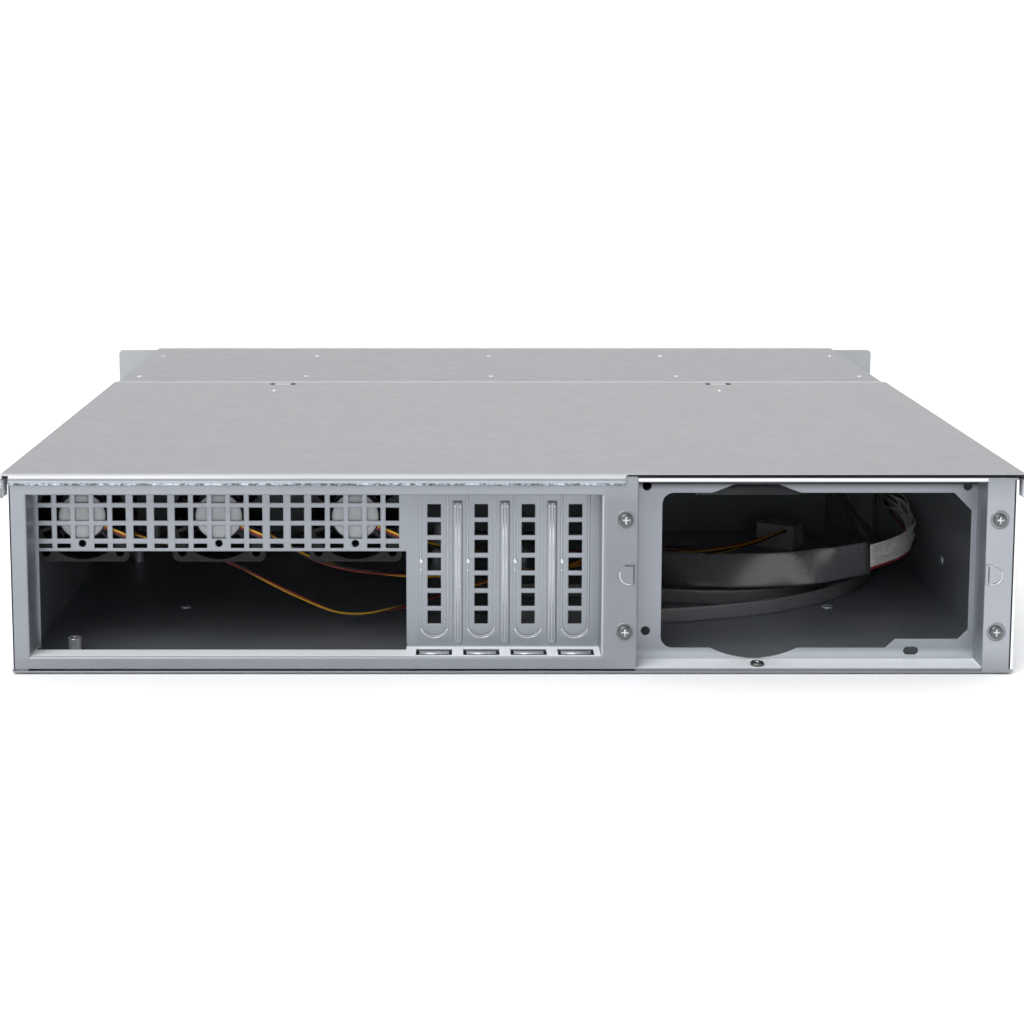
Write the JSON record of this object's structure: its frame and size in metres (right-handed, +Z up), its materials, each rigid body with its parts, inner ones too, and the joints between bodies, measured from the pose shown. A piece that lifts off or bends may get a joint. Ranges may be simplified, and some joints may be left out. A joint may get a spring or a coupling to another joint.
{
  "type": "rackmount server case",
  "caption": "Empty low rackmount server case of folded steel with a sliding lid, rear fans, card slots, a power supply opening and rack ears.",
  "frame": {"origin": "centre of the underside, midway between the rear screw heads and the front of the rack ears", "axes": "+X to the right of the rear view, +Y from the rear towards the front with the ears, +Z up"},
  "size_m": [0.4826, 0.3938, 0.087],
  "materials": {
    "painted_steel": "matt light grey powder coat",
    "zinc_steel": "galvanised sheet, satin",
    "fastener_steel": "bright zinc plate",
    "brass_spacer": "nickel-plated spacer",
    "white_plastic": "natural nylon",
    "black_plastic": "moulded black",
    "button_plastic": "smooth black",
    "board_laminate": "green circuit laminate",
    "clear_lamp": "clear lens",
    "header_plastic": "moulded black",
    "lead_sleeve": "soft insulation",
    "ribbon_grey": "soft insulation",
    "sleeve_black": "smooth flat sleeve"
  },
  "bodies": {
    "chassis": {"base_tray": "zinc_steel", "bay_cover_1": "zinc_steel", "bay_cover_2": "zinc_steel", "bay_cover_3": "zinc_steel", "bay_cover_4": "zinc_steel", "bay_divider_1": "zinc_steel", "bay_divider_2": "zinc_steel", "bay_divider_3": "zinc_steel", "board_headers": "header_plastic", "board_panel": "zinc_steel", "board_posts": "white_plastic", "bracket_screw": "fastener_steel", "control_board": "board_laminate", "ear_left": "zinc_steel", "ear_right": "zinc_steel", "ear_screws": "fastener_steel", "fan_frame_1": "black_plastic", "fan_frame_2": "black_plastic", "fan_frame_3": "black_plastic", "fan_lead_1": "lead_sleeve", "fan_lead_2": "lead_sleeve", "fan_lead_3": "lead_sleeve", "fan_plug": "white_plastic", "fan_screws": "fastener_steel", "front_cover": "painted_steel", "front_panel": "zinc_steel", "lamps": "clear_lamp", "middle_wall": "zinc_steel", "psu_bracket": "zinc_steel", "rear_frame": "zinc_steel", "rear_rail": "zinc_steel", "rear_screws": "fastener_steel", "ribbon_cable": "ribbon_grey", "ribbon_plug": "header_plastic", "ribbon_sleeve": "sleeve_black", "signal_cord": "sleeve_black", "signal_plug": "header_plastic", "standoffs": "brass_spacer", "top_rivets": "fastener_steel"},
    "lid": {"lid": "painted_steel"},
    "rotor_1": {"fan_rotor_1": "black_plastic"},
    "rotor_2": {"fan_rotor_2": "black_plastic"},
    "rotor_3": {"fan_rotor_3": "black_plastic"},
    "power_button": {"power_button": "button_plastic"},
    "reset_button": {"reset_button": "button_plastic"}
  },
  "joints": [
    {"name": "lid_slide", "type": "slide", "parent": "chassis", "child": "lid", "axis": [0, -1, 0], "range_m": [0, 0.18]},
    {"name": "rotor_1_spin", "type": "hinge", "parent": "chassis", "child": "rotor_1", "pos_m": [-0.1854, -0.1691, 0.0646], "axis": [0, 1, 0], "continuous": true},
    {"name": "rotor_2_spin", "type": "hinge", "parent": "chassis", "child": "rotor_2", "pos_m": [-0.1265, -0.1691, 0.0646], "axis": [0, 1, 0], "continuous": true},
    {"name": "rotor_3_spin", "type": "hinge", "parent": "chassis", "child": "rotor_3", "pos_m": [-0.0676, -0.1691, 0.0646], "axis": [0, 1, 0], "continuous": true},
    {"name": "power_press", "type": "slide", "parent": "chassis", "child": "power_button", "axis": [0, -1, 0], "range_m": [0, 0.0012], "stiffness_N_per_m": 400, "springref_m": -0.001},
    {"name": "reset_press", "type": "slide", "parent": "chassis", "child": "reset_button", "axis": [0, -1, 0], "range_m": [0, 0.0012], "stiffness_N_per_m": 400, "springref_m": -0.001}
  ]
}
